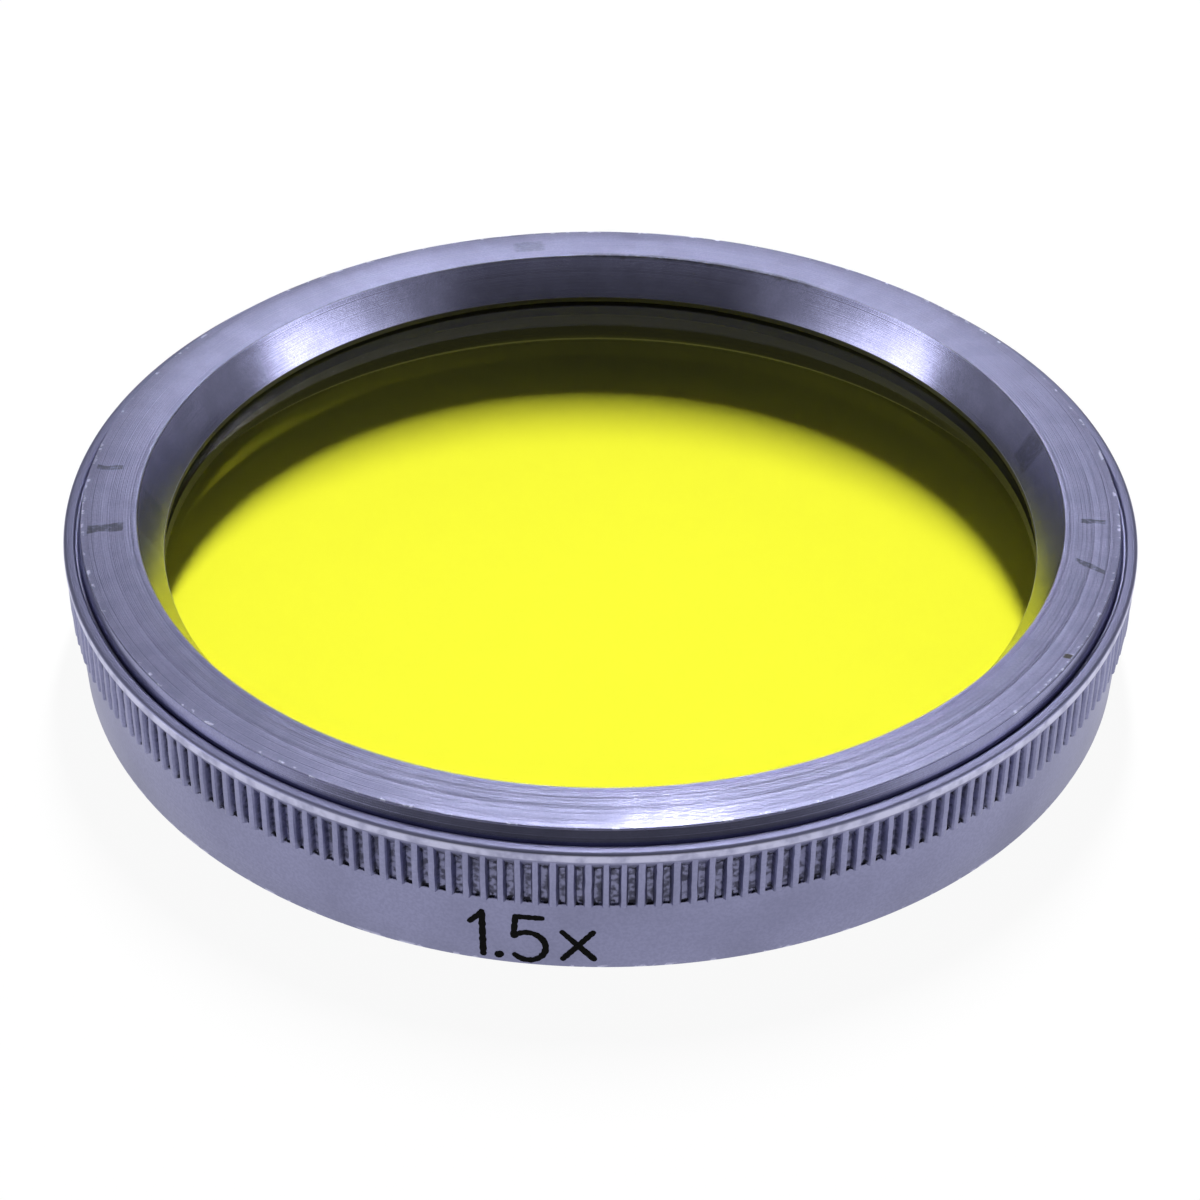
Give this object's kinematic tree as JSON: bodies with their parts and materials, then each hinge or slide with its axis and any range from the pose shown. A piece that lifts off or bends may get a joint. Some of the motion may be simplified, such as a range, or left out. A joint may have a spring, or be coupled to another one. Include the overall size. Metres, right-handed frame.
{
  "type": "slip-on colour filter",
  "caption": "Round slip-on photographic filter: tinted glass disc held in a knurled aluminium mount by a bevelled screwed front ring, with a rear socket that pushes over a lens rim.",
  "frame": {"origin": "centre of the mount's rear rim, on the optical axis", "axes": "+Z along the optical axis towards the front face; -Y towards the mark on the skirt"},
  "size_m": [0.0398, 0.0398, 0.0058],
  "materials": {
    "turned_aluminium": "turned and knurled bare aluminium, dull with age, blackened inside",
    "satin_aluminium": "fine turned satin face with handling marks, brighter turned bevel",
    "yellow_glass": "polished, tinted through, edges ground"
  },
  "bodies": {
    "root": {"mount": "turned_aluminium", "front_ring": "satin_aluminium", "filter_glass": "yellow_glass"}
  },
  "joints": []
}
